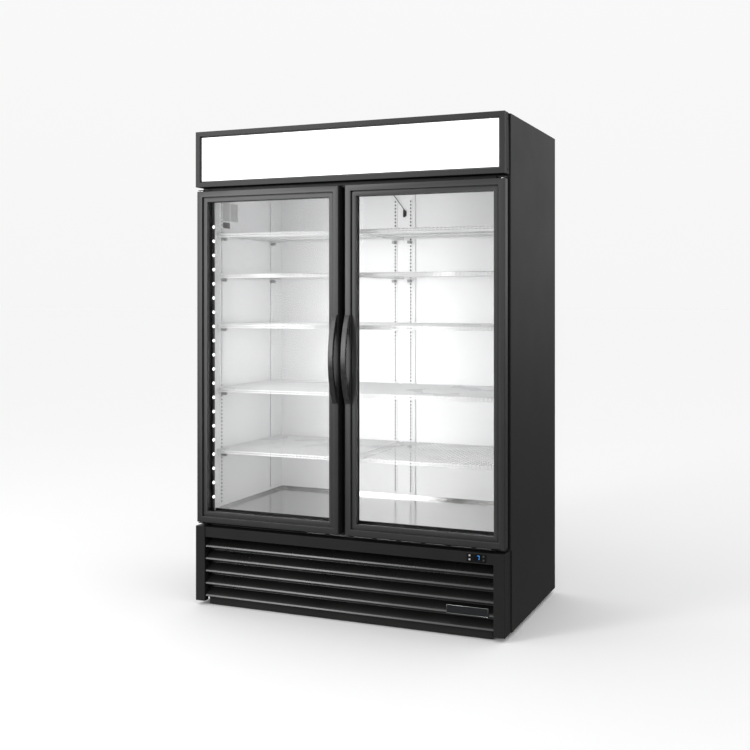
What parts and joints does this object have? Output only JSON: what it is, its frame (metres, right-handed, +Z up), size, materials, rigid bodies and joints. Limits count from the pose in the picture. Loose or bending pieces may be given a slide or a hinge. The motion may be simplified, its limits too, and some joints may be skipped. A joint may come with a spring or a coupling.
{
  "type": "glass door merchandiser",
  "caption": "Upright chilled display cabinet with swing glass doors, wire shelves, a lit sign panel above and a louvred machine grille below.",
  "frame": {"origin": "bottom centre of the whole object's box, on the floor between the levelling feet", "axes": "+X to the right seen from the front, +Y from the doors to the back, +Z up"},
  "size_m": [1.375, 0.833, 2.02],
  "materials": {
    "black_sheet": "satin",
    "louvre_black": "satin",
    "base_steel": "matte",
    "door_finish": "satin",
    "handle_finish": "satin",
    "black_trim": "matte",
    "gasket_rubber": "matte",
    "door_glass": "gloss",
    "white_liner": "gloss",
    "white_pilaster": "satin",
    "stainless_pan": "satin",
    "shelf_coating": "gloss",
    "clip_steel": "satin",
    "light_lens": "gloss",
    "probe_plastic": "matte",
    "data_plate": "matte",
    "coil_aluminium": "satin",
    "fan_plastic": "matte",
    "motor_metal": "satin",
    "sign_white": "gloss",
    "sign_light": "satin",
    "plate_chrome": "polished",
    "control_plastic": "gloss",
    "display_window": "gloss",
    "key_plastic": "matte",
    "foot_steel": "satin",
    "inlet_plastic": "matte",
    "galvanised": "satin",
    "compressor_black": "gloss",
    "pan_plastic": "matte",
    "hinge_steel": "satin",
    "foam": "matte"
  },
  "bodies": {
    "cabinet": {"air_fan_motors": "motor_metal", "air_probe": "probe_plastic", "base_corner_posts": "black_sheet", "base_frame": "base_steel", "centre_mullion": "black_trim", "compressor": "compressor_black", "condenser_coil": "coil_aluminium", "controller_case": "control_plastic", "controller_window": "display_window", "cooling_coil": "coil_aluminium", "cooling_housing": "white_liner", "drain_pan": "pan_plastic", "fan_shroud": "galvanised", "floor_pan": "stainless_pan", "foam_insulation": "foam", "front_frame": "black_trim", "grille_band": "black_sheet", "grille_louvres": "louvre_black", "hinge_pins": "hinge_steel", "hinge_plates": "hinge_steel", "left_side_panel": "black_sheet", "levelling_feet": "foot_steel", "light_channels": "black_trim", "light_lenses": "light_lens", "name_plate": "plate_chrome", "outer_panels": "black_sheet", "power_inlet": "inlet_plastic", "rear_column": "white_liner", "rear_grille": "black_sheet", "right_side_panel": "black_sheet", "shelf_clips": "clip_steel", "shelf_pair_1": "shelf_coating", "shelf_pair_2": "shelf_coating", "shelf_pair_3": "shelf_coating", "shelf_pair_4": "shelf_coating", "shelf_pair_5": "shelf_coating", "shelf_pilasters": "white_pilaster", "sign_frame": "door_finish", "sign_housing": "black_sheet", "sign_lights": "sign_light", "sign_panel": "sign_white", "wall_liners": "white_liner", "wall_plates": "data_plate"},
    "left_door": {"left_door_frame": "door_finish", "left_door_glass": "door_glass", "left_glass_trim": "black_trim", "left_door_gasket": "gasket_rubber", "left_handle": "handle_finish"},
    "right_door": {"right_door_frame": "door_finish", "right_door_glass": "door_glass", "right_glass_trim": "black_trim", "right_door_gasket": "gasket_rubber", "right_handle": "handle_finish"},
    "condenser_fan_wheel": {"condenser_fan": "fan_plastic"},
    "left_air_fan_wheel": {"left_air_fan": "fan_plastic"},
    "right_air_fan_wheel": {"right_air_fan": "fan_plastic"},
    "upper_left_key": {"upper_left_key": "key_plastic"},
    "lower_left_key": {"lower_left_key": "key_plastic"},
    "upper_right_key": {"upper_right_key": "key_plastic"},
    "lower_right_key": {"lower_right_key": "key_plastic"}
  },
  "joints": [
    {"name": "left_door_swing", "type": "hinge", "parent": "cabinet", "child": "left_door", "pos_m": [-0.667, -0.3455, 1.059], "axis": [0, 0, -1], "range_deg": [0, 120], "stiffness_Nm_per_rad": 2.5, "springref_deg": -14.32},
    {"name": "right_door_swing", "type": "hinge", "parent": "cabinet", "child": "right_door", "pos_m": [0.667, -0.3455, 1.059], "axis": [0, 0, 1], "range_deg": [0, 120], "stiffness_Nm_per_rad": 2.5, "springref_deg": -14.32},
    {"name": "condenser_fan_spin", "type": "hinge", "parent": "cabinet", "child": "condenser_fan_wheel", "pos_m": [-0.2, -0.1725, 0.163], "axis": [0, 1, 0], "continuous": true},
    {"name": "left_air_fan_spin", "type": "hinge", "parent": "cabinet", "child": "left_air_fan_wheel", "pos_m": [-0.3, -0.1045, 1.814], "axis": [0, 0, 1], "continuous": true},
    {"name": "right_air_fan_spin", "type": "hinge", "parent": "cabinet", "child": "right_air_fan_wheel", "pos_m": [0.3, -0.1045, 1.814], "axis": [0, 0, 1], "continuous": true},
    {"name": "upper_left_key_press", "type": "slide", "parent": "cabinet", "child": "upper_left_key", "axis": [0, 1, 0], "range_m": [0, 0.0008], "stiffness_N_per_m": 600, "springref_m": -0.0004},
    {"name": "lower_left_key_press", "type": "slide", "parent": "cabinet", "child": "lower_left_key", "axis": [0, 1, 0], "range_m": [0, 0.0008], "stiffness_N_per_m": 600, "springref_m": -0.0004},
    {"name": "upper_right_key_press", "type": "slide", "parent": "cabinet", "child": "upper_right_key", "axis": [0, 1, 0], "range_m": [0, 0.0008], "stiffness_N_per_m": 600, "springref_m": -0.0004},
    {"name": "lower_right_key_press", "type": "slide", "parent": "cabinet", "child": "lower_right_key", "axis": [0, 1, 0], "range_m": [0, 0.0008], "stiffness_N_per_m": 600, "springref_m": -0.0004}
  ]
}
